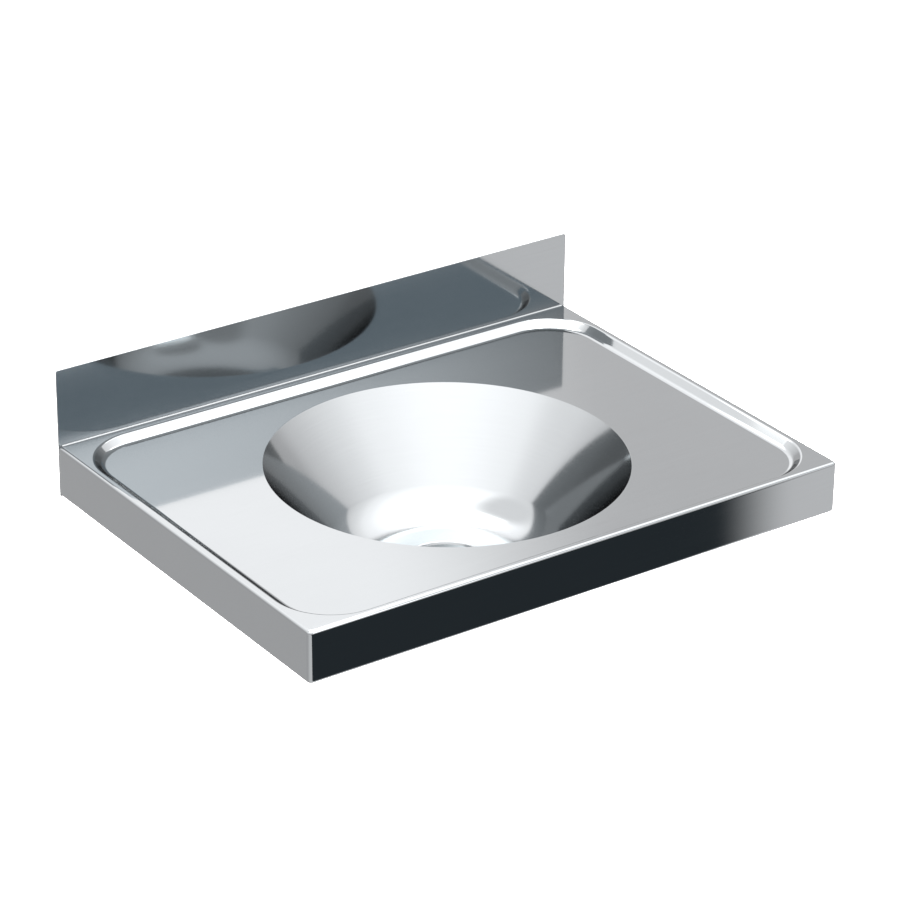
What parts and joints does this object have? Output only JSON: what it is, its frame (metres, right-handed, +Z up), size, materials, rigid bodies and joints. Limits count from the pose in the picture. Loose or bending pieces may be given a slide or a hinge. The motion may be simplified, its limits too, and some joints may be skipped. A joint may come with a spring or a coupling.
{
  "type": "wall-hung hand basin",
  "caption": "Wall-hung stainless steel hand basin: pressed deck with a dished tray, folded aprons, splashback, round conical bowl, grid waste and hidden wall brackets.",
  "frame": {"origin": "on the wall plane, on the centreline of the basin, level with the top of the rim", "axes": "+X to the right seen from the front, +Y into the wall, +Z up"},
  "size_m": [0.51, 0.375, 0.215],
  "materials": {
    "steel_sheet": "fine satin polish",
    "bowl_steel": "fine satin polish, turned round the bowl",
    "polished_steel": "polished",
    "plated_brass": "bright plating",
    "plain_steel": "mill finish",
    "fixing_steel": "bright",
    "seal_rubber": "matt",
    "damping_rubber": "matt, rough"
  },
  "bodies": {
    "root": {"deck": "steel_sheet", "splashback": "steel_sheet", "bowl": "bowl_steel", "damping_pad": "damping_rubber", "stud_plate_left": "plain_steel", "stud_plate_right": "plain_steel", "weld_studs": "fixing_steel", "bracket_left": "plain_steel", "bracket_right": "plain_steel", "bracket_washers": "fixing_steel", "bracket_nuts": "fixing_steel", "bonding_tag": "plain_steel", "waste_grid": "polished_steel", "waste_screw": "polished_steel", "waste_seal_top": "seal_rubber", "waste_seal_bottom": "seal_rubber", "waste_body": "plated_brass"}
  },
  "joints": []
}
